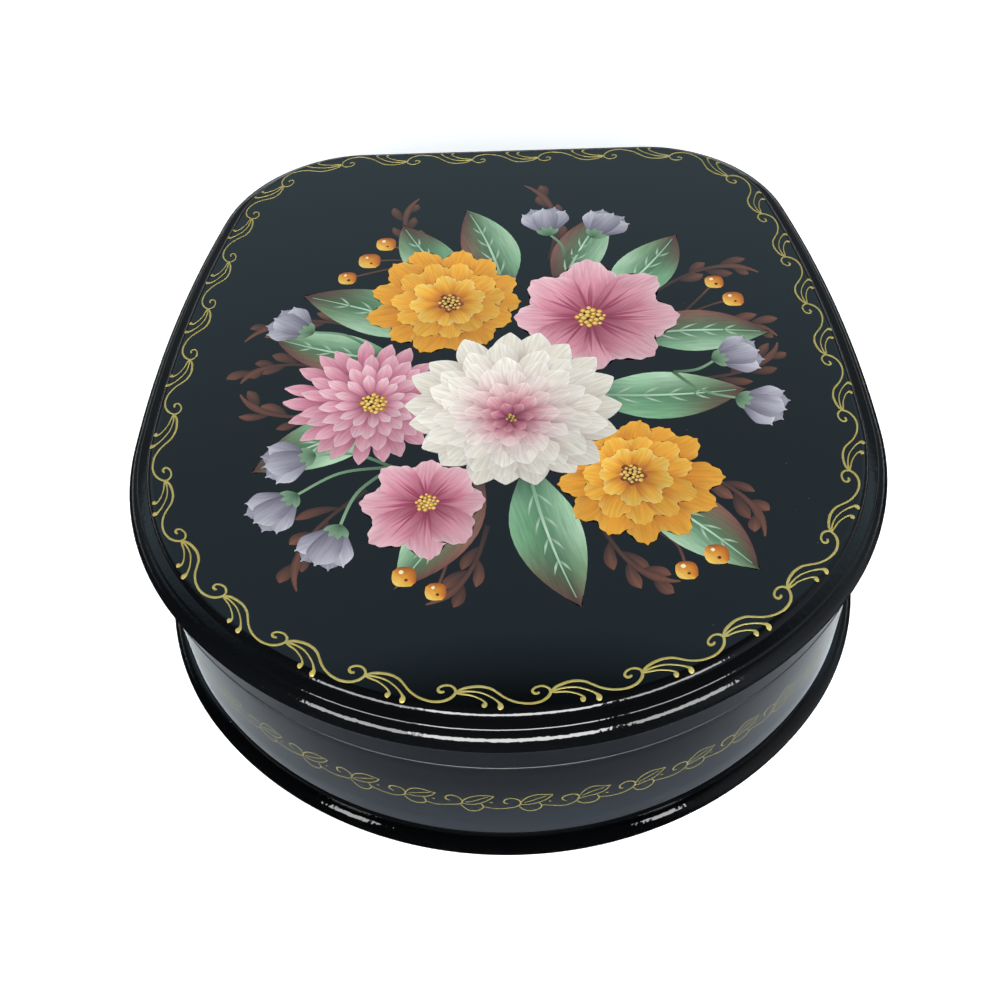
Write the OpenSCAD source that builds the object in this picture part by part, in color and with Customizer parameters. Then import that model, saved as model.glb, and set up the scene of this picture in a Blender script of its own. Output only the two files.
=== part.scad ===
// Lacquered trinket box: a low box with a D-shaped plan and a hinged lid.
// Millimetres, +Z up, front towards -Y, origin under the middle of the box on the surface it stands on.

/* [Outline] */
// Half of the greatest width, at the edge of the lid
half_width = 65; // [55:1:75]
// How much larger the radius of the front arc is than the half width
front_ease = 2.8; // [1:0.2:6]
// How much smaller the radius of the front shoulders is than the half width
shoulder_tuck = 9.5; // [5:0.5:15]
// Radius of the slightly bowed sides
side_r = 264; // [220:2:340]
// Radius of the back corners
corner_r = 29; // [24:0.5:33]
// From the widest line to the straight back
back_depth = 85; // [78:0.5:92]

/* [Base] */
// Thickness of the base board, whose edge is a full round
base_t = 5.2; // [4:0.1:8]
// Height of the thin step that the wall stands on
base_step_h = 0.3; // [0.2:0.05:0.8]
// How far the thin step lies inside the base edge
base_step_in = 1.6; // [1:0.1:2.2]

/* [Wall] */
// Height of the wall, from the base step to the seam
wall_h = 23.1; // [18:0.1:40]
// How far the wall lies inside the lid edge
wall_in = 2.3; // [2:0.1:2.8]
// Thickness of the wall
wall_t = 5; // [4.6:0.1:7]

/* [Linings] */
// Thickness of the sleeve that lines the wall
sleeve_t = 1.6; // [1:0.1:3]
// How far the sleeve stands above the seam, to locate the lid
lip_h = 2.5; // [1:0.1:4]
// Clearance between the sleeve and the lid rim
lip_gap = 0.3; // [0.2:0.05:0.6]
// Thickness of the floor lining
floor_lining_t = 1; // [0.5:0.1:2]
// Thickness of the lid lining
lid_lining_t = 0.8; // [0.4:0.1:1.2]
// Clearance round the edges of the two flat linings
lining_gap = 0.2; // [0.1:0.05:0.5]

/* [Lid] */
// Height of the lid rim
rim_h = 5.6; // [5.2:0.1:9]
// How far the lid rim lies inside the lid edge
rim_in = 1.5; // [1.2:0.1:1.9]
// Radius of the bead round the lid board
bead_r = 2.6; // [2:0.1:4]
// How far the raised top field lies inside the lid edge
field_in = 3.4; // [3:0.1:6]
// Height of the raised top field above the bead
field_h = 1.6; // [1:0.1:3]
// Radius of the rounded arris of the top field
arris_r = 0.8; // [0.3:0.1:1]

/* [Hinges] */
// Width of one hinge
hinge_w = 14; // [10:0.5:16]
// From the end of the straight back to the hinge
hinge_margin = 3; // [1.5:0.5:6]
// How far the hinge axis lies behind the wall
hinge_set = 0.15; // [0.1:0.01:0.18]
// Thickness of a hinge leaf
leaf_t = 0.8; // [0.7:0.05:1.2]
// Reach of a hinge leaf from the hinge axis
leaf_d = 4.2; // [4:0.05:4.6]
// Clearance round a leaf in its recess
leaf_gap = 0.1; // [0.05:0.05:0.2]
// Outer radius of the knuckles
knuckle_r = 1.6; // [1.4:0.05:1.75]
// Gap between neighbouring knuckles
knuckle_gap = 0.15; // [0.1:0.05:0.4]
// Clearance round the knuckles
knuckle_clear = 0.25; // [0.2:0.05:0.3]
// Radius of the hinge pin
pin_r = 0.8; // [0.5:0.05:0.95]
// Running clearance of the pin in the knuckles
pin_clear = 0.05; // [0.02:0.01:0.1]
// Radius of the flat head at each end of the pin
pin_head_r = 1.2; // [1.1:0.05:1.5]
// Thickness of the flat head at each end of the pin
pin_head_t = 0.5; // [0.3:0.1:1]

/* [Screws] */
// Radius of a screw's shank
screw_r = 0.45; // [0.3:0.05:0.6]
// Length of a screw's shank
screw_l = 3; // [2:0.1:3.8]
// Radius of a screw's head
screw_head_r = 0.85; // [0.75:0.05:0.95]
// Thickness of a screw's head
screw_head_t = 0.4; // [0.3:0.05:0.5]
// Clearance round a screw
screw_clear = 0.05; // [0.02:0.01:0.1]
// Width of the slot in a screw's head
slot_w = 0.25; // [0.15:0.05:0.4]
// Depth of the slot in a screw's head
slot_d = 0.2; // [0.1:0.05:0.25]

/* [Hidden] */
$fn = 48;
lacquer_black = "#1c2023";
lacquer_red = "#8c1f1a";
brass = "#c39a4a";
// Overshoot of a cut past the face it opens
cut = 1;

// Facets along each kind of arc in the plan, and round the bead and the arris
front_steps = 20;
shoulder_steps = 7;
side_steps = 5;
corner_steps = 9;
bead_steps = 8;
arris_steps = 3;

// Plan: each arc is [centre x, centre y, radius, start angle, end angle], tangent to its neighbours
front_r = half_width + front_ease;
shoulder_r = half_width - shoulder_tuck;
front_c = sqrt(pow(front_ease + shoulder_tuck, 2) - pow(shoulder_tuck, 2));
shoulder_a = -atan2(front_c, shoulder_tuck);
side_c = half_width - side_r;
corner_y = back_depth - corner_r;
corner_x = side_c + sqrt(pow(side_r - corner_r, 2) - pow(corner_y, 2));
side_a = atan2(corner_y, corner_x - side_c);
front_arc = [0, front_c, front_r, -180 - shoulder_a, shoulder_a];
shoulder_arc = [shoulder_tuck, 0, shoulder_r, shoulder_a, 0];
side_arc = [side_c, 0, side_r, 0, side_a];
corner_arc = [corner_x, corner_y, corner_r, side_a, 90];

// The widest line is shifted so that the box is centred front to back
front_depth = front_r - front_c;
widest_y = (front_depth - back_depth) / 2;
back_y = widest_y + back_depth;

// Heights
wall_z = base_t + base_step_h;
seam_z = wall_z + wall_h;
lid_z = seam_z + rim_h;
bead_h = 2 * bead_r;

// Insets from the lid edge
wall_inner = wall_in + wall_t;
sleeve_inner = wall_inner + sleeve_t;
rim_inner = wall_inner - lip_gap;

// Hinge places
hinge_x = corner_x - hinge_margin - hinge_w / 2;
hinge_y = back_y - wall_in + hinge_set;
bore_r = pin_r + pin_clear;
knuckle_w = (hinge_w - 2 * knuckle_gap) / 3;
// The web that carries a knuckle is narrower than it by the knuckle gap
web_w = knuckle_w - knuckle_gap;
recess_r = knuckle_r + knuckle_clear;
recess_w = hinge_w + 2 * (pin_head_t + knuckle_gap);
screw_x = hinge_w / 4;
screw_y = (recess_r + leaf_d) / 2;
screw_hole_r = screw_r + screw_clear;
head_hole_r = screw_head_r + screw_clear;
// The head lies below the face of the leaf by the screw clearance
head_seat = screw_head_t + screw_clear;

function mirrored(arc) = [-arc[0], arc[1], arc[2], 180 - arc[4], 180 - arc[3]];

// Points along one arc, leaving out some at its start and its end
function arc_points(arc, inset, steps, skip = 1, drop = 0) = [
    for (i = [skip : steps - drop])
        let (a = arc[3] + (arc[4] - arc[3]) * i / steps)
        [arc[0] + (arc[2] - inset) * cos(a), widest_y + arc[1] + (arc[2] - inset) * sin(a)]
];

// Plan outline inside the lid edge by the inset, counter-clockwise from the front left
function outline(inset) = concat(
    arc_points(front_arc, inset, front_steps, skip = 0),
    arc_points(shoulder_arc, inset, shoulder_steps),
    arc_points(side_arc, inset, side_steps),
    arc_points(corner_arc, inset, corner_steps),
    arc_points(mirrored(corner_arc), inset, corner_steps, skip = 0),
    arc_points(mirrored(side_arc), inset, side_steps),
    arc_points(mirrored(shoulder_arc), inset, shoulder_steps, drop = 1)
);

// Quarter or half round of an edge profile, as [inset, height] points
function edge_arc(inset, z, r, from, to, steps) = [
    for (i = [0 : steps])
        let (a = from + (to - from) * i / steps)
        [inset - r * cos(a), z + r * sin(a)]
];

// Solid with the plan outline and a moulded edge, given as [inset, height] points from bottom to top
module moulded(profile) {
    rings = [for (p = profile) [for (q = outline(p[0])) [q[0], q[1], p[1]]]];
    n = len(rings[0]);
    m = len(rings);
    bottom = [for (j = [0 : n - 1]) j];
    top = [for (j = [n - 1 : -1 : 0]) (m - 1) * n + j];
    sides = [
        for (i = [0 : m - 2], j = [0 : n - 1])
            let (k = (j + 1) % n)
            [i * n + j, (i + 1) * n + j, (i + 1) * n + k, i * n + k]
    ];
    polyhedron([for (r = rings) each r], concat([bottom], sides, [top]));
}

module slab(inset, z, h) {
    translate([0, 0, z])
        linear_extrude(h)
            polygon(outline(inset));
}

module ring(outer, inner, z, h) {
    translate([0, 0, z])
        linear_extrude(h)
            difference() {
                polygon(outline(outer));
                polygon(outline(inner));
            }
}

// Places its children at one hinge, with the axis along X through the origin
module at_hinge(side) {
    translate([side * hinge_x, hinge_y, seam_z])
        children();
}

module along_x(r, w) {
    rotate([0, 90, 0])
        cylinder(h = w, r = r, center = true);
}

// Places its children at the two screws of one leaf
module at_screws() {
    for (s = [-1, 1])
        translate([s * screw_x, -screw_y, 0])
            children();
}

// Room for one hinge leaf and its knuckles; up is 1 for the lid leaf and -1 for the body leaf
module hinge_cut(up) {
    along_x(recess_r, recess_w);
    mirror([0, 0, up < 0 ? 1 : 0]) {
        translate([-hinge_w / 2 - leaf_gap, -leaf_d - leaf_gap, -cut])
            cube([hinge_w + 2 * leaf_gap, leaf_d + leaf_gap, leaf_t + cut]);
        at_screws()
            cylinder(h = head_seat + screw_l + screw_clear, r = screw_hole_r);
    }
}

// One leaf with its knuckles; up is 1 for the lid leaf and -1 for the body leaf
module hinge_leaf(up) {
    pitch = knuckle_w + knuckle_gap;
    knuckles = up > 0 ? [0] : [-pitch, pitch];
    difference() {
        union() {
            mirror([0, 0, up < 0 ? 1 : 0]) {
                translate([-hinge_w / 2, -leaf_d, 0])
                    cube([hinge_w, leaf_d - recess_r, leaf_t]);
                for (x = knuckles)
                    translate([x - web_w / 2, -leaf_d, 0])
                        cube([web_w, leaf_d, leaf_t]);
            }
            for (x = knuckles)
                translate([x, 0, 0])
                    along_x(knuckle_r, knuckle_w);
        }
        along_x(bore_r, hinge_w + cut);
        mirror([0, 0, up < 0 ? 1 : 0])
            at_screws() {
                translate([0, 0, -cut])
                    cylinder(h = leaf_t + 2 * cut, r = screw_hole_r);
                translate([0, 0, -cut])
                    cylinder(h = head_seat + cut, r = head_hole_r);
            }
    }
}

module hinge_pin() {
    along_x(pin_r, hinge_w);
    for (s = [-1, 1])
        translate([s * (hinge_w + pin_head_t) / 2, 0, 0])
            along_x(pin_head_r, pin_head_t);
}

// One slotted screw with its head seated in the leaf and its shank pointing along Z
module screw() {
    difference() {
        union() {
            translate([0, 0, screw_clear])
                cylinder(h = screw_head_t, r = screw_head_r);
            translate([0, 0, head_seat])
                cylinder(h = screw_l, r = screw_r);
        }
        translate([-screw_head_r - cut, -slot_w / 2, -cut])
            cube([2 * (screw_head_r + cut), slot_w, cut + screw_clear + slot_d]);
    }
}

module base_board() {
    edge_r = base_t / 2;
    step_a = acos(1 - base_step_in / edge_r);
    color(lacquer_black)
        moulded(concat(
            edge_arc(edge_r, edge_r, edge_r, -90, step_a, bead_steps),
            [[base_step_in, wall_z]]
        ));
}

module floor_lining() {
    color(lacquer_red)
        slab(sleeve_inner + lining_gap, wall_z, floor_lining_t);
}

module body_wall() {
    color(lacquer_black)
        difference() {
            ring(wall_in, wall_inner, wall_z, wall_h);
            for (side = [-1, 1])
                at_hinge(side)
                    hinge_cut(-1);
        }
}

module wall_lining() {
    color(lacquer_red)
        ring(wall_inner, sleeve_inner, wall_z, wall_h + lip_h);
}

module lid_rim() {
    color(lacquer_black)
        difference() {
            ring(rim_in, rim_inner, seam_z, rim_h);
            for (side = [-1, 1])
                at_hinge(side)
                    hinge_cut(1);
        }
}

module lid_board() {
    field_z = bead_h + field_h;
    color(lacquer_black)
        translate([0, 0, lid_z])
            moulded(concat(
                edge_arc(bead_r, bead_r, bead_r, -90, 90, bead_steps),
                [[field_in, bead_h]],
                edge_arc(field_in + arris_r, field_z - arris_r, arris_r, 0, 90, arris_steps)
            ));
}

module lid_lining() {
    color(lacquer_red)
        slab(rim_inner + lining_gap, lid_z - lid_lining_t, lid_lining_t);
}

module hinge_body_leaf_left() { color(brass) at_hinge(-1) hinge_leaf(-1); }
module hinge_body_leaf_right() { color(brass) at_hinge(1) hinge_leaf(-1); }
module hinge_lid_leaf_left() { color(brass) at_hinge(-1) hinge_leaf(1); }
module hinge_lid_leaf_right() { color(brass) at_hinge(1) hinge_leaf(1); }
module hinge_pin_left() { color(brass) at_hinge(-1) hinge_pin(); }
module hinge_pin_right() { color(brass) at_hinge(1) hinge_pin(); }

module hinge_body_screws() {
    color(brass)
        for (side = [-1, 1])
            at_hinge(side)
                mirror([0, 0, 1])
                    at_screws()
                        screw();
}

module hinge_lid_screws() {
    color(brass)
        for (side = [-1, 1])
            at_hinge(side)
                at_screws()
                    screw();
}

base_board();
floor_lining();
body_wall();
wall_lining();
lid_rim();
lid_board();
lid_lining();
hinge_body_leaf_left();
hinge_body_leaf_right();
hinge_lid_leaf_left();
hinge_lid_leaf_right();
hinge_pin_left();
hinge_pin_right();
hinge_body_screws();
hinge_lid_screws();
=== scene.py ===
import math
import random

import bmesh
import bpy
from mathutils import Matrix, Vector


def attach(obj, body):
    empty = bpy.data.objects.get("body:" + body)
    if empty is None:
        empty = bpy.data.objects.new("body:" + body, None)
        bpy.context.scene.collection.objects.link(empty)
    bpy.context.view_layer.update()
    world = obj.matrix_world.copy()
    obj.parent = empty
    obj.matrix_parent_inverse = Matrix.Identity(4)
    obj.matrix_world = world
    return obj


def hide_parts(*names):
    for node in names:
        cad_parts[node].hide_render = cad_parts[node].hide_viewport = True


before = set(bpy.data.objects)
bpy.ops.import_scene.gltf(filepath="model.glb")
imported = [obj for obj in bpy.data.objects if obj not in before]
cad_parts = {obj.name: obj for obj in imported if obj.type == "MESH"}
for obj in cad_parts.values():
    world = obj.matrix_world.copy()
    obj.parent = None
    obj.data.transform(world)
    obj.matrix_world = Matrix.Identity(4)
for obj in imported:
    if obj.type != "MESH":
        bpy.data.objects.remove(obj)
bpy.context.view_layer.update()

# Camera: a short lens above the front edge, looking down on the lid at about fifty degrees.
# Its place, turn and lens are those that lay the CAD edges on the photographed ones.
camera = bpy.data.objects.new("camera", bpy.data.cameras.new("camera"))
camera.data.lens = 45.78
camera.data.sensor_width = 36.0
camera.data.clip_start = 0.01
yaw, pitch, roll = math.radians(-1.729), math.radians(49.848), math.radians(-2.727)
forward = Vector((math.sin(yaw) * math.cos(pitch), math.cos(yaw) * math.cos(pitch), -math.sin(pitch)))
level = Vector((math.cos(yaw), -math.sin(yaw), 0.0))
rise = level.cross(forward)
across = math.cos(roll) * level + math.sin(roll) * rise
upward = math.cos(roll) * rise - math.sin(roll) * level
camera.matrix_world = Matrix((
    (across.x, upward.x, -forward.x, 0.003068),
    (across.y, upward.y, -forward.y, -0.162762),
    (across.z, upward.z, -forward.z, 0.199935),
    (0.0, 0.0, 0.0, 1.0),
))
bpy.context.scene.collection.objects.link(camera)
bpy.context.scene.camera = camera
bpy.context.scene.view_settings.view_transform = "Standard"

# Studio: white card as the floor, strip lights behind the camera that draw the lines on the mouldings, two panes
# for the base, a light for the picture and one overhead. The room is pale behind the box and dark in front.
# The card and the last two lights are left out of the reflections, so the lacquer mirrors the dark of the room.
MM = 0.001


def linear(code):
    """Linear colour of an sRGB hex value."""
    parts = [int(code[i:i + 2], 16) / 255 for i in (1, 3, 5)]
    return (*[c / 12.92 if c <= 0.04045 else ((c + 0.055) / 1.055) ** 2.4 for c in parts], 1.0)


def add(tree, kind, inputs=None, **settings):
    """Adds a shader node with its settings; inputs maps sockets to values or to outputs to link."""
    made = tree.nodes.new("ShaderNode" + kind)
    for name, value in settings.items():
        setattr(made, name, value)
    for name, value in (inputs or {}).items():
        if isinstance(value, bpy.types.NodeSocket):
            tree.links.new(value, made.inputs[name])
        else:
            made.inputs[name].default_value = value
    return made


def new_material(name):
    """An empty node material, with its tree and its output node."""
    material = bpy.data.materials.new(name)
    material.use_nodes = True
    tree = material.node_tree
    tree.nodes.clear()
    return material, tree, tree.nodes.new("ShaderNodeOutputMaterial")


def blended(tree, factor, dark, light):
    """Output of a node that blends two colours, or two outputs, by a factor."""
    made = add(tree, "Mix", {0: factor, 6: dark, 7: light}, data_type="RGBA")
    return made.outputs[2]


def solid(name, points, faces, materials=()):
    """Adds a mesh object in the row frame, its faces turned outwards."""
    mesh = bpy.data.meshes.new(name)
    mesh.from_pydata(points, [], faces)
    for material in materials:
        mesh.materials.append(material)
    shell = bmesh.new()
    shell.from_mesh(mesh)
    bmesh.ops.recalc_face_normals(shell, faces=shell.faces)
    shell.to_mesh(mesh)
    shell.free()
    piece = bpy.data.objects.new(name, mesh)
    bpy.context.scene.collection.objects.link(piece)
    return piece


# White card: thin pressed paper board over a light table, so it glows evenly, with a faint cloudiness of pulp.
white_card, tree, out = new_material("white card")
place = add(tree, "TexCoord").outputs["Object"]
pulp = add(tree, "TexNoise", {"Vector": place, "Scale": 1 / (40 * MM), "Detail": 4.0})
card_colour = blended(tree, pulp.outputs["Fac"], linear("#f4f4f3"), linear("#fafaf9"))
# Less light falls on the card far from the box, so the table glows more there and the sheet stays even
far = add(tree, "VectorMath", {0: place}, operation="LENGTH")
glow = add(tree, "MapRange", {0: far.outputs["Value"], 1: 0.4, 2: 1.5, 3: 0.54, 4: 1.0})
card = add(tree, "BsdfPrincipled", {
    "Base Color": card_colour, "Roughness": 0.9, "Specular IOR Level": 0.2, "Emission Color": linear("#fbfdff"),
    "Emission Strength": glow.outputs[0],
})
tree.links.new(card.outputs[0], out.inputs["Surface"])
reach = 3.0
corners = [(-reach, -reach, 0), (reach, -reach, 0), (reach, reach, 0), (-reach, reach, 0)]
floor = solid("floor", corners, [(0, 1, 2, 3)], [white_card])
floor.visible_glossy = False


def softbox(name, place, aim, width, depth, power):
    """A rectangular soft light aimed at a point; places and sizes in metres, power in watts."""
    lamp = bpy.data.lights.new(name, "AREA")
    lamp.shape = "RECTANGLE"
    lamp.size, lamp.size_y = width, depth
    lamp.energy = power
    made = bpy.data.objects.new(name, lamp)
    made.location = place
    made.rotation_euler = (Vector(aim) - Vector(place)).to_track_quat("-Z", "Y").to_euler()
    bpy.context.scene.collection.objects.link(made)
    return made


aim = (0.0, -0.06, 0.035)
strips = [
    softbox("front_strip", (0.0, -1.04, 0.52), aim, 0.86, 0.42, 20.0),
    softbox("left_strip", (-0.76, -1.04, 0.52), aim, 0.60, 0.46, 8.5),
    softbox("right_strip", (0.82, -0.98, 0.52), aim, 0.60, 0.46, 8.5),
]
panes = [
    softbox("left_pane", (-0.87, -0.95, 0.52), aim, 0.23, 0.60, 4.0),
    softbox("right_pane", (0.77, -1.03, 0.52), aim, 0.21, 0.60, 4.0),
]
top_light = softbox("top_light", (0.0, 0.25, 1.5), (0.0, 0.12, 0.0), 2.2, 2.2, 6.0)
picture_light = softbox("picture_light", (0.0, -0.5, 1.2), aim, 1.2, 1.2, 18.0)
for lamp in (top_light, picture_light):
    lamp.visible_glossy = False
room = bpy.data.worlds.new("room")
room.use_nodes = True
tree = room.node_tree
tree.nodes.clear()
facing = add(tree, "SeparateXYZ", {0: add(tree, "TexCoord").outputs["Generated"]})
height = add(tree, "MapRange", {0: facing.outputs["Z"], 1: -1.0, 2: 1.0})
pale = add(tree, "ValToRGB", {0: height.outputs[0]})
stops = pale.color_ramp.elements
stops[0].position, stops[0].color = 0.0, linear("#1b1d1f")
stops[1].position, stops[1].color = 1.0, linear("#17191c")
for position, code in (
    (0.44, "#26282b"), (0.455, "#e8ebec"), (0.52, "#f4f6f6"), (0.545, "#5d646a"), (0.72, "#67737b"),
    (0.765, "#bbdae6"), (0.855, "#a7c2d1"), (0.9145, "#a3c1d3"), (0.9285, "#17191c"),
):
    stop = stops.new(position)
    stop.color = linear(code)
behind = add(tree, "MapRange", {0: facing.outputs["Y"], 1: 0.0, 2: 0.48}, interpolation_type="SMOOTHSTEP")
# The dark room in front opens towards the right on a paler wall
beside = add(tree, "MapRange", {0: facing.outputs["X"], 1: 0.5, 2: 0.9}, interpolation_type="SMOOTHSTEP")
dim = blended(tree, beside.outputs[0], linear("#141618"), linear("#8a9096"))
sky = blended(tree, behind.outputs[0], dim, pale.outputs[0])
# The eye itself sees only a white backdrop beyond the card
seen = add(tree, "LightPath").outputs["Is Camera Ray"]
sky = blended(tree, seen, sky, linear("#ffffff"))
surround = add(tree, "Background", {"Color": sky, "Strength": 1.0})
out = tree.nodes.new("ShaderNodeOutputWorld")
tree.links.new(surround.outputs[0], out.inputs["Surface"])
bpy.context.scene.world = room

# Base board: the floor of the box, a wooden board sawn to the plan with a full round turned on its edge.
# A thin step on top takes the wall. It is filled, sanded and coated with black lacquer, then polished.
half_width, front_ease, shoulder_tuck = 65.0, 2.8, 9.5
side_r, corner_r, back_depth = 264.0, 29.0, 85.0
front_r, shoulder_r = half_width + front_ease, half_width - shoulder_tuck
front_c = math.sqrt((front_ease + shoulder_tuck) ** 2 - shoulder_tuck ** 2)
shoulder_a = -math.atan2(front_c, shoulder_tuck)
side_c, corner_y = half_width - side_r, back_depth - corner_r
corner_x = side_c + math.sqrt((side_r - corner_r) ** 2 - corner_y ** 2)
side_a = math.atan2(corner_y, corner_x - side_c)
widest_y = (front_r - front_c - back_depth) / 2
half_turn, quarter = math.pi, math.pi / 2
# Each arc of the plan, from the back centre round the left side, as centre, radius, first angle and sweep;
# the two halves of the straight back have no radius and a length for a sweep.
plan_arcs = [
    (0.0, back_depth, 0.0, quarter, corner_x),
    (-corner_x, corner_y, corner_r, quarter, quarter - side_a),
    (-side_c, 0.0, side_r, half_turn - side_a, side_a),
    (-shoulder_tuck, 0.0, shoulder_r, half_turn, -shoulder_a),
    (0.0, front_c, front_r, half_turn - shoulder_a, half_turn + 2 * shoulder_a),
    (shoulder_tuck, 0.0, shoulder_r, shoulder_a, -shoulder_a),
    (side_c, 0.0, side_r, 0.0, side_a),
    (corner_x, corner_y, corner_r, side_a, quarter - side_a),
    (corner_x, back_depth, 0.0, quarter, corner_x),
]


def girth(inset):
    """Length of the outline that lies inside the lid edge by the inset."""
    return sum((r - inset) * sweep if r else sweep for _, _, r, _, sweep in plan_arcs)


def station(along, inset):
    """Point on that outline, this far from the back centre going left, and its outward normal."""
    along %= girth(inset)
    for x, y, r, start, sweep in plan_arcs:
        length = (r - inset) * sweep if r else sweep
        if along <= length or (x, r) == (corner_x, 0.0):
            break
        along -= length
    angle = start + along / (r - inset) if r else start
    out_x, out_y = math.cos(angle), math.sin(angle)
    if not r:
        return (x - along, widest_y + y - inset), (0.0, 1.0)
    return (x + (r - inset) * out_x, widest_y + y + (r - inset) * out_y), (out_x, out_y)


plan_steps = 520
edge_stations = [station(i * girth(0.0) / plan_steps, 0.0) for i in range(plan_steps)]


def plan_ring(inset, z):
    """Ring of points at a height, inside the lid edge by the inset."""
    return [((p[0] - inset * n[0]) * MM, (p[1] - inset * n[1]) * MM, z * MM) for p, n in edge_stations]


def rounded(inset, z, r, first, last, steps):
    """Quarter or half round of an edge, as (inset, height) points; angles from the outward level, in degrees."""
    turns = [math.radians(first + (last - first) * i / steps) for i in range(steps + 1)]
    return [(inset - r * math.cos(a), z + r * math.sin(a)) for a in turns]


def swept(name, profile, material, hollow=False):
    """Sweeps an edge profile round the plan: a board with flat faces, or a hollow ring."""
    if not hollow:
        # A narrow flat ring keeps the round edge's shading off the flat faces
        ring = 0.6
        profile = [(profile[0][0] + ring, profile[0][1]), *profile, (profile[-1][0] + ring, profile[-1][1])]
    points = [p for inset, z in profile for p in plan_ring(inset, z)]
    rows, n = len(profile), plan_steps
    faces = [
        (i * n + j, i * n + (j + 1) % n, (i + 1) % rows * n + (j + 1) % n, (i + 1) % rows * n + j)
        for i in range(rows if hollow else rows - 1)
        for j in range(n)
    ]
    if not hollow:
        faces += [tuple(range(n - 1, -1, -1)), tuple((rows - 1) * n + j for j in range(n))]
    piece = solid(name, points, faces, [material])
    smooth(piece)
    return piece


def smooth(piece, sharp=32):
    """Smooth shading, kept crisp along edges sharper than the given angle."""
    piece.data.shade_smooth()
    piece.data.set_sharp_from_angle(angle=math.radians(sharp))


def lacquer(name, deep, haze, gloss_low, gloss_high, ripple, grain, dust, bloom=0.0, foot=None):
    """Black or red lacquer: pooled coats over filler, with a faint ripple, cloudy rubbing and caught dust.

    The bloom is the grey that a rubbed coat shows towards its edges, where the eye meets it at a low angle,
    and the foot is painted light: a paler colour towards the bottom of an upright face, darker up under the lid.
    """
    material, tree, out = new_material(name)
    place = add(tree, "TexCoord").outputs["Object"]
    cloud = add(tree, "TexNoise", {"Vector": place, "Scale": 1 / (18 * MM), "Detail": 3.0})
    rub = add(tree, "TexNoise", {"Vector": place, "Scale": 1 / (grain * MM), "Detail": 1.0})
    colour = blended(tree, cloud.outputs["Fac"], linear(deep), linear(haze))
    # Painted light and shade: an upright face is made paler towards the bottom and stays darker higher up, under
    # the lid
    if foot:
        rise = add(tree, "SeparateXYZ", {0: place})
        low = add(tree, "MapRange", {0: rise.outputs["Z"], 1: 22 * MM, 2: 6 * MM})
        colour = blended(tree, low.outputs[0], colour, linear(foot))
    # Dust: one small pale speck in a few of the cells, drawn twice its real size so that it shows
    cells = add(tree, "TexVoronoi", {"Vector": place, "Scale": 1 / (2.6 * MM), "Randomness": 1.0})
    near = add(tree, "MapRange", {0: cells.outputs["Distance"], 1: 0.035, 2: 0.05, 3: 1.0, 4: 0.0})
    pick = add(tree, "SeparateColor", {0: cells.outputs["Color"]})
    chosen = add(tree, "Math", {0: pick.outputs[0], 1: 1.0 - dust}, operation="GREATER_THAN")
    speck = add(tree, "Math", {0: near.outputs[0], 1: chosen.outputs[0]}, operation="MULTIPLY")
    colour = blended(tree, speck.outputs[0], colour, linear("#7c8186"))
    # The gloss stays all above or all below 0.27, where the renderer's denoiser would draw islands on the coat
    shine = add(tree, "MapRange", {0: cloud.outputs["Fac"], 1: 0.3, 2: 0.7, 3: gloss_low, 4: gloss_high})
    dull = add(tree, "Math", {0: speck.outputs[0], 1: 0.5, 2: shine.outputs[0]}, operation="MULTIPLY_ADD")
    # The flat field is rubbed level; the ripple stays on the mouldings and upright faces
    level = add(tree, "SeparateXYZ", {0: add(tree, "TexCoord").outputs["Normal"]})
    upright = add(tree, "MapRange", {0: level.outputs["Z"], 1: 0.998, 2: 0.93, 3: 0.02 * ripple, 4: ripple})
    swell = add(tree, "Bump", {
        "Strength": upright.outputs[0], "Distance": 0.05 * MM, "Height": rub.outputs["Fac"],
    })
    coat = add(tree, "BsdfPrincipled", {
        "Base Color": colour, "Roughness": dull.outputs[0], "Normal": swell.outputs[0], "IOR": 1.5,
        "Sheen Weight": bloom, "Sheen Roughness": 0.27, "Sheen Tint": linear("#e6edf4"),
    })
    tree.links.new(coat.outputs[0], out.inputs["Surface"])
    return material


# Polished black lacquer: many thin coats flatted and buffed, so it is a deep black mirror with a soft ripple.
polished_black_lacquer = lacquer("polished black lacquer", "#050607", "#08090b", 0.05, 0.085, 0.7, 0.9, 0.16)
base_t, base_step_h, base_step_in, step_ease = 5.2, 0.3, 1.6, 0.12
base_r = base_t / 2
base_top = base_t + base_step_h
step_a = math.degrees(math.acos(1 - base_step_in / base_r))
base_board = swept(
    "base_board_lacquered",
    [*rounded(base_r, base_r, base_r, -90, step_a, 24),
     *rounded(base_step_in + step_ease, base_top - step_ease, step_ease, 0, 90, 4)],
    polished_black_lacquer,
)
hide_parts("base_board")
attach(base_board, "box")


def flag(name, lamps, pieces, state):
    """Lets the lamps shine on the pieces only, or on all but them."""
    group = bpy.data.collections.new(name)
    for piece in pieces:
        group.objects.link(piece)
    for entry in group.collection_objects:
        entry.light_linking.link_state = state
    for lamp in lamps:
        lamp.light_linking.receiver_collection = group


flag("lit_by_panes", panes, [base_board], "INCLUDE")

# Floor lining: a thin wooden panel cut a hair smaller than the opening and laid on the base inside the wall.
# Its edges are eased, and it is brushed with red lacquer before it goes in.
floor_lining_t, wall_in, wall_t, sleeve_t, lining_gap = 1.0, 2.3, 5.0, 1.6, 0.2
wall_inner = wall_in + wall_t
sleeve_inner = wall_inner + sleeve_t
# Red satin lacquer: two brushed coats left unpolished, so reflections are broad and the brush shows a little.
red_satin_lacquer = lacquer("red satin lacquer", "#6e100c", "#8a1a13", 0.29, 0.37, 0.10, 3.0, 0.0)


def panel(name, inset, z, h, material):
    """A thin flat panel of the plan's shape, h thick above z, its edges eased."""
    ease = 0.15
    return swept(
        name,
        [*rounded(inset + ease, z + ease, ease, -90, 0, 3),
         *rounded(inset + ease, z + h - ease, ease, 0, 90, 3)],
        material,
    )


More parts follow.
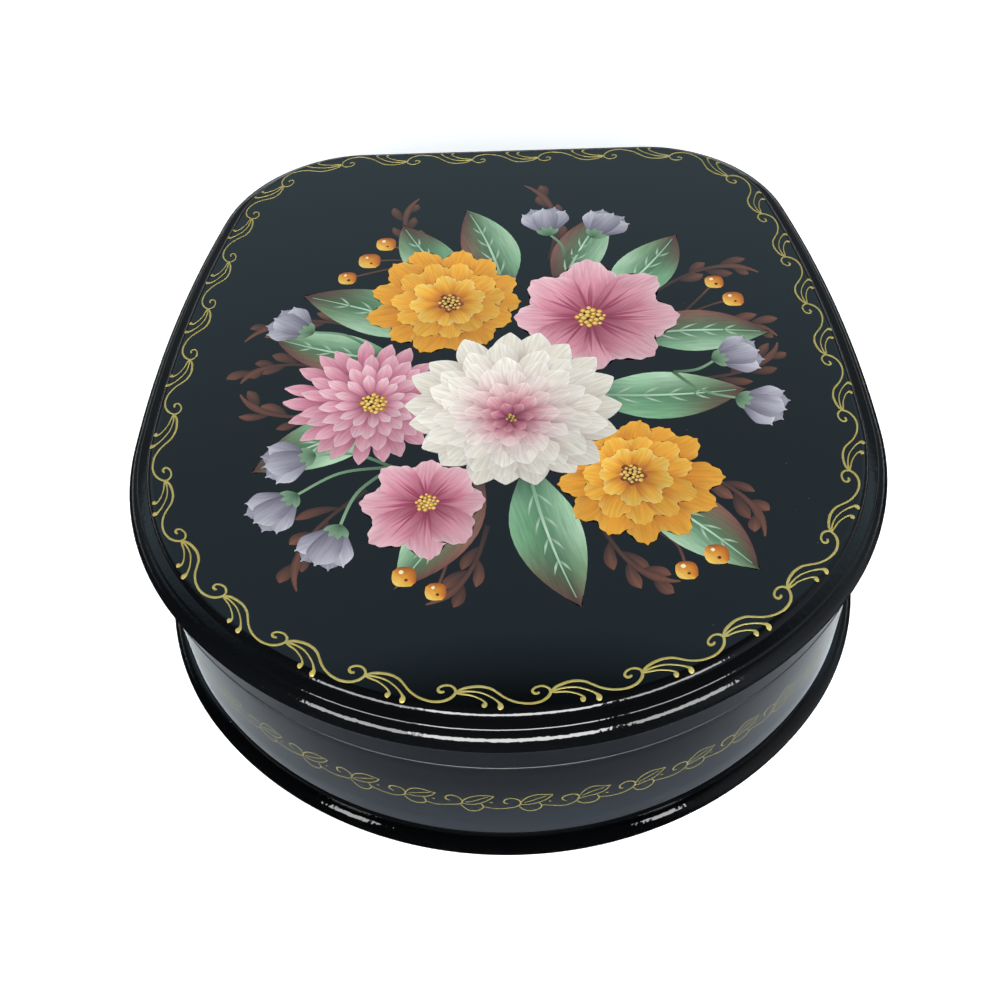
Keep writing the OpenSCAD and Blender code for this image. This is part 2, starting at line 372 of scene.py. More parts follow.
floor_lining = panel("floor_lining_red", sleeve_inner + lining_gap, base_top, floor_lining_t, red_satin_lacquer)
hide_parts("floor_lining")
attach(floor_lining, "box")

# Wall: a band of wood bent and glued to the plan, standing on the base step under the lid.
# Its lacquer is rubbed to a satin, and the back is notched for the two hinges.
wall_h = 23.1
seam_z = base_top + wall_h
hinge_w, hinge_margin, hinge_set = 14.0, 3.0, 0.15
leaf_t, leaf_d, leaf_gap = 0.8, 4.2, 0.1
knuckle_r, knuckle_clear, knuckle_gap, pin_head_t = 1.6, 0.25, 0.15, 0.5
screw_hole_r, screw_hole_l = 0.5, 3.5
hinge_x = corner_x - hinge_margin - hinge_w / 2
hinge_y = widest_y + back_depth - wall_in + hinge_set


def notch_hinges(piece, up):
    """Cuts the two hinge recesses: a round trough for the knuckles, a pocket for the leaf, two screw holes."""
    trough_r = knuckle_r + knuckle_clear
    trough_w = hinge_w + 2 * (pin_head_t + knuckle_gap)
    screw_y = (trough_r + leaf_d) / 2
    for side in (-1, 1):
        centre = Vector((side * hinge_x, hinge_y, seam_z)) * MM
        cutters = []

        def cutter(build):
            shell = bmesh.new()
            build(shell)
            mesh = bpy.data.meshes.new("cutter")
            shell.to_mesh(mesh)
            shell.free()
            made = bpy.data.objects.new("cutter", mesh)
            bpy.context.scene.collection.objects.link(made)
            cutters.append(made)

        def rod(shell, r, length, place, turn):
            bmesh.ops.create_cone(
                shell, cap_ends=True, segments=64, radius1=r * MM, radius2=r * MM, depth=length * MM,
                matrix=Matrix.Translation(centre + Vector(place) * MM) @ Matrix.Rotation(turn, 4, "Y"),
            )

        cutter(lambda shell: rod(shell, trough_r, trough_w, (0, 0, 0), quarter))
        over = 1.0
        pocket = Vector((hinge_w + 2 * leaf_gap, leaf_d + leaf_gap, leaf_t + over))
        middle = Vector((0, -pocket.y / 2, up * (leaf_t - over) / 2))
        cutter(lambda shell: bmesh.ops.create_cube(
            shell, size=1.0,
            matrix=Matrix.Translation(centre + middle * MM) @ Matrix.Diagonal((*(pocket * MM), 1.0)),
        ))
        for x in (-hinge_w / 4, hinge_w / 4):
            cutter(lambda shell: rod(shell, screw_hole_r, 2 * screw_hole_l, (x, -screw_y, 0), 0.0))
        for made in cutters:
            cut = piece.modifiers.new("notch", "BOOLEAN")
            cut.operation, cut.solver, cut.object = "DIFFERENCE", "EXACT", made
        bpy.context.view_layer.update()
        graph = bpy.context.evaluated_depsgraph_get()
        notched = bpy.data.meshes.new_from_object(piece.evaluated_get(graph))
        piece.modifiers.clear()
        piece.data = notched
        for made in cutters:
            bpy.data.objects.remove(made, do_unlink=True)
    smooth(piece)


# Satin black lacquer: the same coats rubbed with fine powder but not buffed, so the room shows as a grey haze.
# Its foot colour is painted light on the wall: paler towards the bottom, darker up under the lid
satin_black_lacquer = lacquer(
    "satin black lacquer", "#0a0c0f", "#0f1317", 0.285, 0.34, 0.10, 3.0, 0.02, bloom=0.69, foot="#21262c"
)
ease = 0.25
body_wall = swept(
    "body_wall_lacquered",
    [*rounded(wall_in + ease, base_top + ease, ease, -90, 0, 4),
     *[(wall_in, base_top + ease + (wall_h - 2 * ease) * i / 6) for i in range(1, 6)],
     *rounded(wall_in + ease, seam_z - ease, ease, 0, 90, 4),
     (wall_inner, seam_z), (wall_inner, base_top)],
    satin_black_lacquer, hollow=True,
)
notch_hinges(body_wall, -1)
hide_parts("body_wall")
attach(body_wall, "box")

# Sleeve: a thinner band of bent wood glued inside the wall and brushed with the same red lacquer.
# It stands above the seam, and its rounded lip finds the inside of the rim and keeps the lid in place.
lip_h = 2.5
lip_r = 0.5
sleeve = swept(
    "wall_lining_red",
    [(wall_inner, base_top),
     *rounded(wall_inner + lip_r, seam_z + lip_h - lip_r, lip_r, 0, 90, 5),
     *rounded(sleeve_inner - lip_r, seam_z + lip_h - lip_r, lip_r, 90, 180, 5),
     (sleeve_inner, base_top)],
    red_satin_lacquer, hollow=True,
)
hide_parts("wall_lining")
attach(sleeve, "box")

# Lid rim: a second band of the same bent wood, glued under the lid board; it stands a little proud of the wall.
# Lacquer ran to its lower edge and set there as a fine raised lip.
rim_h, rim_in, lip_gap = 5.6, 1.5, 0.3
rim_inner = wall_inner - lip_gap
lid_z = seam_z + rim_h
lip_bead_r, lip_bead_sunk, inner_lift = 0.2, 0.1, 0.01
lid_rim = swept(
    "lid_rim_lacquered",
    [*rounded(rim_in + lip_bead_sunk, seam_z + lip_bead_r, lip_bead_r, -90, 60, 10),
     (rim_in, seam_z + 2 * lip_bead_r), (rim_in, seam_z + rim_h / 2),
     (rim_in, lid_z), (rim_inner, lid_z), (rim_inner, seam_z + inner_lift)],
    satin_black_lacquer, hollow=True,
)
notch_hinges(lid_rim, 1)
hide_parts("lid_rim")
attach(lid_rim, "lid")

# Lid board: a flat board whose edge was cut with shaped planes into a quarter round, a narrow fillet and a bead.
# It is glued down on the rim, and its lacquer has the deepest polish of the box.
bead_r, bead_end, field_h = 2.6, 71, 1.6
fillet_in, fillet_r, fillet_sunk = 2.41, 0.7, 0.4
round_in, round_r = 4.94, 1.6
coat_t, coat_gap, coat_bed = 0.05, 0.02, 0.06
bead_top = lid_z + 2 * bead_r
lid_top = bead_top + field_h
lid_board = swept(
    "lid_board_lacquered",
    [*rounded(bead_r, lid_z + bead_r, bead_r, -90, bead_end, 32),
     *rounded(fillet_in, bead_top - fillet_sunk, fillet_r, 22, 68, 8),
     *rounded(round_in, lid_top - round_r, round_r, 25, 90, 16), (round_in + coat_gap, lid_top - coat_t)],
    polished_black_lacquer,
)
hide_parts("lid_board")
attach(lid_board, "lid")

# Field coat: the last coats of lacquer on the flat of the lid, inside the quarter round.
# They were flatted level and buffed to a mirror before the lid was painted. The coat is a mesh of its own, in a
# shallow sinking of the board, so that flags can keep lights off the flat without reaching the mouldings.
field_coat = swept(
    "lid_field_coat",
    [(round_in + coat_gap / 2, lid_top - coat_bed), (round_in + coat_gap / 2, lid_top)],
    polished_black_lacquer,
)
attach(field_coat, "lid")

# Lid lining: a thin wooden panel glued under the lid board inside the rim.
# It carries the same brushed red lacquer as the rest of the inside.
lid_lining_t = 0.8
under_lid = lid_z - lid_lining_t
lid_lining = panel("lid_lining_red", rim_inner + lining_gap, under_lid, lid_lining_t, red_satin_lacquer)
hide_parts("lid_lining")
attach(lid_lining, "lid")

# Hinges: two small brass butts let into the back, each with two leaves, a headed pin and four screws.
# Their leaves are cut and rolled from sheet and their pins from wire; here the solids only take their finish.

# Drawn brass: rolled sheet and wire, drawn bright and then dulled by handling along fine lines.
drawn_brass, tree, out = new_material("drawn brass")
place = add(tree, "TexCoord").outputs["Object"]
tarnish = add(tree, "TexNoise", {"Vector": place, "Scale": 1 / (2.5 * MM), "Detail": 4.0})
squeezed = add(tree, "Mapping", {"Vector": place, "Scale": (0.06, 1.0, 1.0)})
lines = add(tree, "TexNoise", {"Vector": squeezed.outputs[0], "Scale": 1 / (0.25 * MM), "Detail": 2.0})
brass_colour = blended(tree, tarnish.outputs["Fac"], linear("#b08a3e"), linear("#d9b765"))
worn = add(tree, "MapRange", {0: lines.outputs["Fac"], 1: 0.3, 2: 0.7, 3: 0.29, 4: 0.42})
drawn = add(tree, "Bump", {"Strength": 0.25, "Distance": 0.01 * MM, "Height": lines.outputs["Fac"]})
metal = add(tree, "BsdfPrincipled", {
    "Base Color": brass_colour, "Metallic": 1.0, "Roughness": worn.outputs[0], "Normal": drawn.outputs[0],
})
tree.links.new(metal.outputs[0], out.inputs["Surface"])
for name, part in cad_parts.items():
    if name.startswith("hinge_"):
        part.data.materials.clear()
        part.data.materials.append(drawn_brass)

# Scroll border: a running scroll in bronze-powder paint, drawn by hand round the raised field of the lid.
# Each unit is a stem that dips outwards and turns up into a curl, with two commas springing beside it.


def flowing(points, steps=6):
    """Points of a smooth line through the given points of the plane."""
    ends = [points[0], *points, points[-1]]
    line = []
    for a, b, c, d in zip(ends, ends[1:], ends[2:], ends[3:]):
        for i in range(steps):
            t = i / steps
            line.append(tuple(
                0.5 * (
                    2 * q + (r - p) * t + (2 * p - 5 * q + 4 * r - s) * t * t + (3 * q - p - 3 * r + s) * t ** 3
                )
                for p, q, r, s in zip(a, b, c, d)
            ))
    return [*line, tuple(points[-1])]


def between(stops, t):
    """Value this far, from 0 to 1, along evenly spaced stops."""
    k = max(min(int(t * (len(stops) - 1)), len(stops) - 2), 0)
    after = stops[min(k + 1, len(stops) - 1)]
    return stops[k] + (after - stops[k]) * (t * (len(stops) - 1) - k)


def blended_widths(widths, count):
    """The given widths, spread evenly along so many points."""
    return [between(widths, i / (count - 1)) for i in range(count)]


paint_sink = 0.03


def brush_line(points, faces, line, widths, lay, body):
    """Adds one closed, domed line of paint; lay puts a point of the plane and a height on the piece."""
    across = [(-0.5, -1), (-0.5, 0.25), (-0.3, 0.8), (0.0, 1.0), (0.3, 0.8), (0.5, 0.25), (0.5, -1)]
    first, n = len(points), len(across)
    for i, (x, y) in enumerate(line):
        ahead, behind = line[min(i + 1, len(line) - 1)], line[max(i - 1, 0)]
        dx, dy = ahead[0] - behind[0], ahead[1] - behind[1]
        length = math.hypot(dx, dy) or 1.0
        for side, height in across:
            offset = side * widths[i]
            lift = body * height if height > 0 else -paint_sink
            points.append(lay(x - dy / length * offset, y + dx / length * offset, lift))
    for i in range(len(line) - 1):
        a, b = first + i * n, first + (i + 1) * n
        faces += [(a + k, a + (k + 1) % n, b + (k + 1) % n, b + k) for k in range(n)]
    last = first + (len(line) - 1) * n
    faces += [tuple(range(first + n - 1, first - 1, -1)), tuple(range(last, last + n))]


def bronze(name, thin, thick, flakes, bloom=0.0):
    """Bronze-powder paint: flakes of brass in varnish, which cover unevenly and glint a little."""
    material, tree, out = new_material(name)
    place = add(tree, "TexCoord").outputs["Object"]
    flake = add(tree, "TexNoise", {"Vector": place, "Scale": 1 / (0.5 * MM), "Detail": 3.0})
    cover = add(tree, "TexNoise", {"Vector": place, "Scale": 1 / (6 * MM), "Detail": 2.0})
    full = add(tree, "MapRange", {0: cover.outputs["Fac"], 1: 0.35, 2: 0.65})
    colour = blended(tree, full.outputs[0], linear(thin), linear(thick))
    colour = blended(tree, flake.outputs["Fac"], colour, linear(flakes))
    glint = add(tree, "MapRange", {0: flake.outputs["Fac"], 1: 0.3, 2: 0.7, 3: 0.3, 4: 0.5})
    grit = add(tree, "Bump", {"Strength": 0.3, "Distance": 0.02 * MM, "Height": flake.outputs["Fac"]})
    paint = add(tree, "BsdfPrincipled", {
        "Base Color": colour, "Metallic": 0.25, "Roughness": glint.outputs[0], "Normal": grit.outputs[0],
        "Sheen Weight": bloom, "Sheen Roughness": 0.27, "Sheen Tint": linear("#e6edf4"),
    })
    tree.links.new(paint.outputs[0], out.inputs["Surface"])
    return material


# Bronze paint: laid on thick enough to stand up, so it is a full pale gold.
bronze_paint = bronze("bronze powder paint", "#a29855", "#9e882c", "#bbb06b")
border_in, border_units, border_start, scroll_length = 6.95, 30, 61.5, 13.8
border_pitch = girth(border_in) / border_units
# The hand ran ahead on the first units of the left side
early_units, early_by = 5, 1.7
ahead = [early_by if unit % border_units < early_units else 0.0 for unit in range(border_units + 1)]
hand = random.Random(7)
scroll_stem = [
    (0, 0), (0.8, 0.6), (2.0, 1.0), (3.5, 1.15), (5.0, 0.8), (6.0, 0.1), (7.0, -0.75), (8.0, -1.35),
    (9.2, -1.8), (10.7, -2.0), (12.1, -1.75), (13.1, -1.15), (13.65, -0.45), (13.8, 0.05), (13.6, 0.6),
    (13.0, 1.0), (12.3, 1.05), (11.6, 0.8), (11.2, 0.35), (11.3, -0.1), (11.75, -0.25), (12.15, -0.05),
]
scroll_commas = [
    [(0.1, 0), (1.1, 0.2), (2.4, 0.25), (3.6, 0.05), (4.8, -0.5), (5.8, -1.2), (6.5, -2.0), (6.55, -2.5),
     (6.2, -2.75)],
    [(0.1, -0.1), (0.9, -0.25), (2.0, -0.4), (3.0, -0.75), (3.9, -1.25), (4.4, -1.8), (4.3, -2.2), (3.95, -2.35)],
]
stem_widths = [0.35, 0.55, 0.5, 0.42, 0.4, 0.42, 0.48, 0.52, 0.48, 0.44, 0.4, 0.42, 0.55, 0.4]
comma_widths = [0.3, 0.42, 0.34, 0.3, 0.28, 0.28, 0.3, 0.4, 0.8, 1.05, 0.4]
stem_body, comma_body = 0.05, 0.06
load_middle, load_right, load_front = 0.70, 0.02, 0.18
points, faces = [], []
for unit in range(border_units):
    sway, size = hand.uniform(-0.25, 0.25), hand.uniform(0.93, 1.07)

    def on_lid(a, b, lift):
        """Point of the unit this far along and inwards, on the flat or down the quarter round."""
        first, last = unit * border_pitch - ahead[unit], (unit + 1) * border_pitch - ahead[unit + 1]
        place, normal = station(border_start + first + a * (last - first) / scroll_length, border_in)
        b = b * size + sway * math.sin(math.pi * min(max(a / scroll_length, 0), 1))
        over = min(max(round_in - border_in - b, 0.0), round_r)
        height = lid_top - round_r + math.sqrt(round_r ** 2 - over ** 2) + lift
        return ((place[0] - b * normal[0]) * MM, (place[1] - b * normal[1]) * MM, height * MM)

    # The brush was fullest at the front and drier towards the back
    middle = on_lid(7, 0, 0)
    load = load_middle + (load_right * middle[0] - load_front * middle[1]) / (half_width * MM)
    line = flowing(scroll_stem)
    widths = [load * w for w in blended_widths(stem_widths, len(line))]
    brush_line(points, faces, line, widths, on_lid, stem_body)
    for comma in scroll_commas:
        line = flowing(comma)
        widths = [load * w for w in blended_widths(comma_widths, len(line))]
        brush_line(points, faces, line, widths, on_lid, comma_body)
scroll_border = solid("gold_scroll_border", points, faces, [bronze_paint])
smooth(scroll_border, 60)
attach(scroll_border, "lid")

# Vine: a finer running vine in the same paint, drawn round the middle of the wall.
# Each unit is a stem with a curl, an outlined leaf with its midrib, a small leaf below and a dot.

# Thinned bronze paint: the same powder in more varnish, so the black shows through and dulls the gold.
# The rubbed coat of the wall lies over it too and greys it towards the sides.
thin_bronze_paint = bronze("thinned bronze paint", "#635f33", "#706930", "#8a854b", bloom=0.6)
vine_z, vine_units, vine_start, vine_length = 15.2, 48, 0.12, 9.2
vine_load, vine_body = 0.86, 0.02
vine_pitch = girth(wall_in) / vine_units
vine_lines = [
    [(-5.8, -0.4), (-4.2, -0.9), (-2.4, -1.0), (-0.9, -0.6), (0.0, 0.2), (0.15, 1.1), (-0.25, 1.95), (-1.1, 2.4),
     (-2.0, 2.2), (-2.5, 1.5), (-2.3, 0.8), (-1.8, 0.6)],
    [(0.0, 0.4), (0.6, 1.9), (1.6, 3.0), (2.9, 3.4), (4.1, 3.1), (5.2, 2.9)],
    [(5.2, 2.9), (4.4, 1.7), (3.3, 0.85), (1.8, 0.4), (0.0, 0.3)],
    [(0.7, 0.95), (2.0, 1.6), (3.2, 2.2), (4.2, 2.6)],
    [(-0.1, -0.3), (0.5, -1.3), (1.4, -1.9), (2.5, -1.8), (3.3, -1.1), (3.4, -0.3), (3.1, 0.5)],
    [(4.55, 0.75), (4.7, 0.74), (4.85, 0.72), (5.0, 0.7)],
]
vine_widths = [
    [0.2, 0.23, 0.26, 0.24, 0.26, 0.3, 0.18], [0.2, 0.26, 0.24, 0.2], [0.2, 0.24, 0.2], [0.16, 0.2, 0.14],
    [0.2, 0.26, 0.28, 0.24, 0.2], [0.1, 0.34, 0.34, 0.1],
]
points, faces = [], []
for unit in range(vine_units):
    sway, size = hand.uniform(-0.3, 0.3), hand.uniform(0.9, 1.05)

    def on_wall(a, h, lift):
        """Point of the unit this far along and above the vine's line, on the wall."""
        place, normal = station((unit + vine_start) * vine_pitch + a * vine_pitch / vine_length, wall_in)
        height = vine_z + h * size + sway * math.sin(a)
        return ((place[0] + lift * normal[0]) * MM, (place[1] + lift * normal[1]) * MM, height * MM)

    for control, widths in zip(vine_lines, vine_widths):
        line = flowing(control, 5)
        thin = [vine_load * w for w in blended_widths(widths, len(line))]
        brush_line(points, faces, line, thin, on_wall, vine_body)
wall_vine = solid("gold_wall_vine", points, faces, [thin_bronze_paint])
smooth(wall_vine, 60)
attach(wall_vine, "box")

# Bouquet: garden flowers painted by hand in oil colours on the flat of the lid, each petal one loaded stroke.
# The strokes are laid from the back to the front, and varnish covers them all.
strokes = {}
# Oil colours dry a little darker than they were mixed, and strokes that cross never lie at exactly one height
dried, height_step, height_steps = 0.85, 0.0003, 12


def stroke(piece, spine, widths, tones, lift, lit=1.0, columns=8, crown=0.0, frill=0.0):
    """Adds one stroke of paint to a piece, as a thin closed patch that carries its blended colours.

    The tones are rows from the start to the end of the stroke, each with colours from its left to its right
    edge. The crown draws the corners of the end back, and the frill waves it.
    """
    store = strokes.setdefault(piece, {"points": [], "faces": [], "tones": [], "marks": [], "count": 0})
    points, tints, marks = store["points"], store["tones"], store["marks"]
    lift += height_step * (store["count"] % height_steps)
    store["count"] += 1
    first, n, rows = len(points), columns + 1, len(spine)
    length = sum(math.dist(a, b) for a, b in zip(spine, spine[1:]))
    shift = hand.uniform(0, 90)
    mixed = [[dried * lit * Vector(linear(code)[:3]) for code in row] for row in tones]
    for i, (x, y) in enumerate(spine):
        t = i / (rows - 1)
        ahead, behind = spine[min(i + 1, rows - 1)], spine[max(i - 1, 0)]
        turn = math.atan2(ahead[1] - behind[1], ahead[0] - behind[0])
        along = [between([row[min(k, len(row) - 1)] for row in mixed], t) for k in range(len(mixed[0]))]
        for k in range(n):
            s = 2 * k / columns - 1
            aside = -s * widths[i] / 2
            push = length * t ** 3 * (frill * math.cos(3 * half_turn * s) - crown * s * s)
            points.append((
                (x + push * math.cos(turn) - aside * math.sin(turn)) * MM,
                (y + push * math.sin(turn) + aside * math.cos(turn)) * MM,
                (lid_top + lift) * MM,
            ))
            tints.append((*between(along, k / columns), 1.0))
            marks.append((aside + shift, t * length + shift))
    edge = [*range(n), *[i * n + columns for i in range(1, rows)],
            *[(rows - 1) * n + k for k in range(columns - 1, -1, -1)], *[i * n for i in range(rows - 2, 0, -1)]]
    under, m = len(points), len(edge)
    for k in edge:
        points.append((*points[first + k][:2], (lid_top - paint_sink) * MM))
        tints.append(tints[first + k])
        marks.append(marks[first + k])
    store["faces"] += [
        (first + i * n + k, first + i * n + k + 1, first + (i + 1) * n + k + 1, first + (i + 1) * n + k)
        for i in range(rows - 1) for k in range(columns)
    ]
    store["faces"] += [
        (first + edge[j], under + j, under + (j + 1) % m, first + edge[(j + 1) % m]) for j in range(m)
    ]
    store["faces"].append(tuple(range(under, under + m)))


def petal(piece, start, angle, length, breadth, tones, lift, bend=0.0, waist=0.3, full=0.6, blunt=0.04, **shape):
    """A petal or leaf stroke: waist is its breadth at the base, full where it is broadest, blunt its tip."""
    spine, widths = [], []
    steps = 14
    for i in range(steps + 1):
        t = i / steps
        forward, aside = length * t, bend * length * t * t
        spine.append((
            start[0] + forward * math.cos(angle) - aside * math.sin(angle),
            start[1] + forward * math.sin(angle) + aside * math.cos(angle),
        ))
        rise = waist + (1 - waist) * math.sin(quarter * t / full)
        widths.append(breadth * (rise if t < full else 1 - (1 - blunt) * ((t - full) / (1 - full)) ** 2))
    stroke(piece, spine, widths, tones, lift, **shape)


def whorl(piece, centre, count, inner, outer, breadth, tones, lift, turn=0.0, lean=(0.0, 0.0), **shape):
    """A ring of petals round a centre, every other one over its neighbours; the bloom leans to one side."""
    for i in range(count):
        angle = math.radians(turn + 360 * i / count + hand.uniform(-4, 4))
        reach = (1 + lean[0] * math.cos(angle) + lean[1] * math.sin(angle)) * hand.uniform(0.95, 1.05)
        level = 2 if count % 2 and i == count - 1 else i % 2
        root = (centre[0] + inner * reach * math.cos(angle), centre[1] + inner * reach * math.sin(angle))
        petal(
            piece, root, angle, (outer - inner) * reach, breadth * hand.uniform(0.92, 1.08), tones,
            lift + 0.004 * level, bend=hand.uniform(-0.1, 0.1),
            lit=1 + 0.14 * math.cos(angle - 2.2) + hand.uniform(-0.06, 0.06), **shape,
        )


def dots(piece, centre, spread, count, r, tones, lift):
    """Round touches of the brush scattered over a disc."""
    for i in range(count):
        angle, far = 2.4 * i, spread * math.sqrt((i + 0.5) / count)
        size = r * hand.uniform(0.8, 1.2)
        petal(
            piece, (centre[0] + far * math.cos(angle) - size, centre[1] + far * math.sin(angle)), 0.0, 2 * size,
            2 * size, tones, lift + 0.002 * (i % 3), waist=0.2, full=0.5, blunt=0.2, columns=4,
        )


# Tendrils: thin russet sprays with comma leaves, in thinned earth colour.
# They are laid first, straight on the black, so that the flowers come over them.
russet = [["#2a1815", "#33201b", "#2a1815"], ["#4c2d24", "#5a382c", "#42271f"], ["#6b4231", "#7a4c36", "#5a3629"]]
sprays = [
    (-24, 13, 160, 26, 0.9), (-27, -8, 188, 22, -0.8), (-23, -26, 222, 24, 0.8), (-3, -34, 258, 19, -0.7),
    (15, -34, 292, 18, 0.8), (29, -22, 330, 21, -0.8), (33, -2, 6, 20, 0.8), (29, 22, 38, 22, -0.9),
    (9, 32, 78, 26, 0.8), (-15, 32, 118, 22, -0.8), (-34, 4, 172, 15, 0.9), (35, 10, 20, 16, -0.9),
]
for x, y, heading, reach, curl in sprays:
    spine, steps = [(x, y)], 22
    for i in range(steps):
        angle = math.radians(heading) + curl * (i / steps) ** 2 * 1.6
        tip = spine[-1]
        spine.append((tip[0] + reach / steps * math.cos(angle), tip[1] + reach / steps * math.sin(angle)))
    widths = blended_widths([0.9, 0.8, 0.7, 0.9, 1.5, 0.3], len(spine))
    stroke("russet_tendrils", spine, widths, russet, 0.008, columns=4)
    for k, i in enumerate((5, 8, 11, 14, 17)):
        side = 1 if k % 2 else -1
        ahead = math.atan2(spine[i + 1][1] - spine[i][1], spine[i + 1][0] - spine[i][0])
        petal(
            "russet_tendrils", spine[i], ahead + side * math.radians(hand.uniform(34, 52)),
            hand.uniform(4.6, 7.4) - 0.5 * k, hand.uniform(1.7, 2.3), russet, 0.004, bend=-0.35 * side,
            waist=0.15, full=0.7, columns=4, lit=hand.uniform(0.8, 1.2),
        )

# Leaves: mint green on one half and dark on the other, with a warm red tip or base.
# Each is one broad stroke of two colours, and its pale veins are drawn on it with a fine brush.
mint_leaf = [
    ["#3a5a43", "#33503c", "#2c4636"], ["#a9d2ab", "#5f8f6a", "#86b68d"], ["#b9dab8", "#4f7d58", "#7fae84"],
    ["#86a97f", "#4a6546", "#6a5a48"], ["#6b3a35", "#54302b", "#5e2f2c"],
]
red_leaf = [
    ["#4a2522", "#3d2a24", "#3a1f1e"], ["#7b4a42", "#4a6546", "#8fbf96"], ["#8a5a4e", "#4f7d58", "#b5d8b4"],
    ["#74403a", "#557a55", "#a5cba6"], ["#5e2f2c", "#4a3a30", "#6d8a5f"],
]
vein = [["#5f8f6a"], ["#c2dcc0"], ["#8fb592"]]
leaves = [
    (-12, 12, 150, 28, 12, 0.12, mint_leaf), (-20, 5, 172, 23, 10, -0.15, red_leaf),
    (0, 24, 98, 25, 11, 0.15, red_leaf), (-8, 24, 128, 23, 10, -0.12, mint_leaf),
    (20, 20, 46, 23, 11, 0.12, mint_leaf), (24, 10, 8, 24, 11, -0.15, red_leaf),
    (15, -5, -6, 27, 11.5, 0.12, mint_leaf), (22, -27, -38, 24, 11, -0.12, red_leaf),
    (4, -23, -82, 28, 11.5, 0.12, mint_leaf), (-5, -23, -110, 26, 11, -0.14, red_leaf),
    (-20, -10, -160, 25, 11, 0.12, mint_leaf), (11, 24, 72, 24, 10, -0.1, red_leaf),
]
for i, (x, y, heading, reach, breadth, bend, tones) in enumerate(leaves):
    lift, angle = 0.02 + 0.012 * (i % 2), math.radians(heading)
    petal("green_leaves", (x, y), angle, reach, breadth, tones, lift, bend=bend, waist=0.25, full=0.45, columns=12,
          frill=0.012, lit=hand.uniform(0.92, 1.08))

    def rib(t):
        """Point this far, from 0 to 1, along the leaf's midrib."""
        return (x + reach * t * math.cos(angle) - bend * reach * t * t * math.sin(angle),
                y + reach * t * math.sin(angle) + bend * reach * t * t * math.cos(angle))

    line = [rib(0.04 + 0.9 * k / 10) for k in range(11)]
    stroke("green_leaves", line, blended_widths([0.6, 0.5, 0.35, 0.15], 11), vein, lift + 0.006, columns=2)
    for k in range(4):
        for side in (-1, 1):
            petal("green_leaves", rib(0.16 + 0.17 * k), angle + side * math.radians(38) + bend,
                  breadth * (0.44 - 0.06 * k), 0.4, vein, lift + 0.004, bend=-0.2 * side, waist=0.6, full=0.4,
                  columns=2, lit=0.8)

# Bellflowers: lilac bells on green stalks, in profile.
# Each is two shaded petals, two at the sides and one in front, with a green cup at its foot.
lilac = [["#56525f", "#625e6c", "#4c4855"], ["#8b8696", "#a19cab", "#777282"], ["#dcdae0", "#c2bfc9", "#a5a1ae"]]
shade = [["#3a3744", "#45414f", "#3a3744"], ["#625e6e", "#706b7b", "#5a5666"], ["#9a96a4", "#adaab6", "#8e8a99"]]
stalk = [["#3f5a42"], ["#6f9270"], ["#8fae8c"]]
bells = [
    (-19, -21, -33, -18, 196), (-19, -21, -35, -27, 222), (-19, -21, -27, -34, 246), (30, 0, 38, 3, 14),
    (30, 0, 41, -7, -22), (12, 32, 9, 40, 96), (12, 32, 18, 39, 58), (-24, 8, -36, 13, 150),
]
for x, y, bell_x, bell_y, heading in bells:
    angle = math.radians(heading)
    middle = ((x + bell_x) / 2 + 0.12 * (bell_y - y), (y + bell_y) / 2 - 0.12 * (bell_x - x))
    line = flowing([(x, y), middle, (bell_x, bell_y)], 8)
    stroke("lilac_bellflowers", line, blended_widths([0.7, 0.6, 0.5], len(line)), stalk, 0.045, columns=2)
    for turn, tones, reach, breadth, level in (
        (-13, shade, 8.6, 5.0, 0), (13, shade, 8.6, 5.0, 1), (-26, lilac, 8.0, 4.2, 2), (26, lilac, 8.0, 4.2, 3),
        (0, lilac, 8.2, 5.4, 4),
    ):
        petal("lilac_bellflowers", (bell_x, bell_y), angle + math.radians(turn), reach, breadth, tones,
              0.05 + 0.004 * level, bend=0.005 * turn, waist=0.4, full=0.72, blunt=0.1, crown=0.05,
              lit=hand.uniform(0.92, 1.1))
    foot = (bell_x - 0.8 * math.cos(angle), bell_y - 0.8 * math.sin(angle))
    for turn in (-48, -16, 16, 48):
        petal("lilac_bellflowers", foot, angle + math.radians(turn), 3.0, 1.2, stalk, 0.074, columns=4, lit=0.9)

# Berries: round orange fruit on short twigs.
# Each is one turn of a brush that holds light and dark orange, with a dark eye and a small shine dotted on.
berry = [["#f3c04c", "#d9821c", "#9c4a10"], ["#f7d46a", "#e89a24", "#a9540f"], ["#e9a93a", "#cf7716", "#8c3f0d"]]
for x, y, berry_x, berry_y, r in (
    (-16, 31, -26, 33, 2.3), (-16, 31, -23, 38, 2.1), (-16, 31, -30, 28, 1.9), (24, -36, 33, -41, 2.1),
    (24, -36, 28, -44, 1.9), (-9, -34, -16, -44, 2.1), (-9, -34, -11, -47, 1.8), (32, 14, 43, 19, 2.1),
    (32, 14, 40, 24, 1.9),
):
    line = flowing([(x, y), ((x + berry_x) / 2 + 1.0, (y + berry_y) / 2 + 1.0), (berry_x, berry_y)], 6)
    stroke("orange_berries", line, blended_widths([0.6, 0.5, 0.5], len(line)), russet, 0.016, columns=2)
    petal("orange_berries", (berry_x + 0.7 * r, berry_y - 0.7 * r), 0.75 * half_turn, 2 * r, 2 * r, berry, 0.05,
          waist=0.25, full=0.5, blunt=0.25)
    eye, glint = (berry_x + 0.1 * r, berry_y - 0.3 * r), (berry_x - 0.3 * r, berry_y + 0.45 * r)
    dots("orange_berries", eye, 0.1, 1, 0.3, [["#5a2410"], ["#5a2410"]], 0.056)
    dots("orange_berries", glint, 0.1, 1, 0.35, [["#fdf1c6"], ["#fdf1c6"]], 0.056)

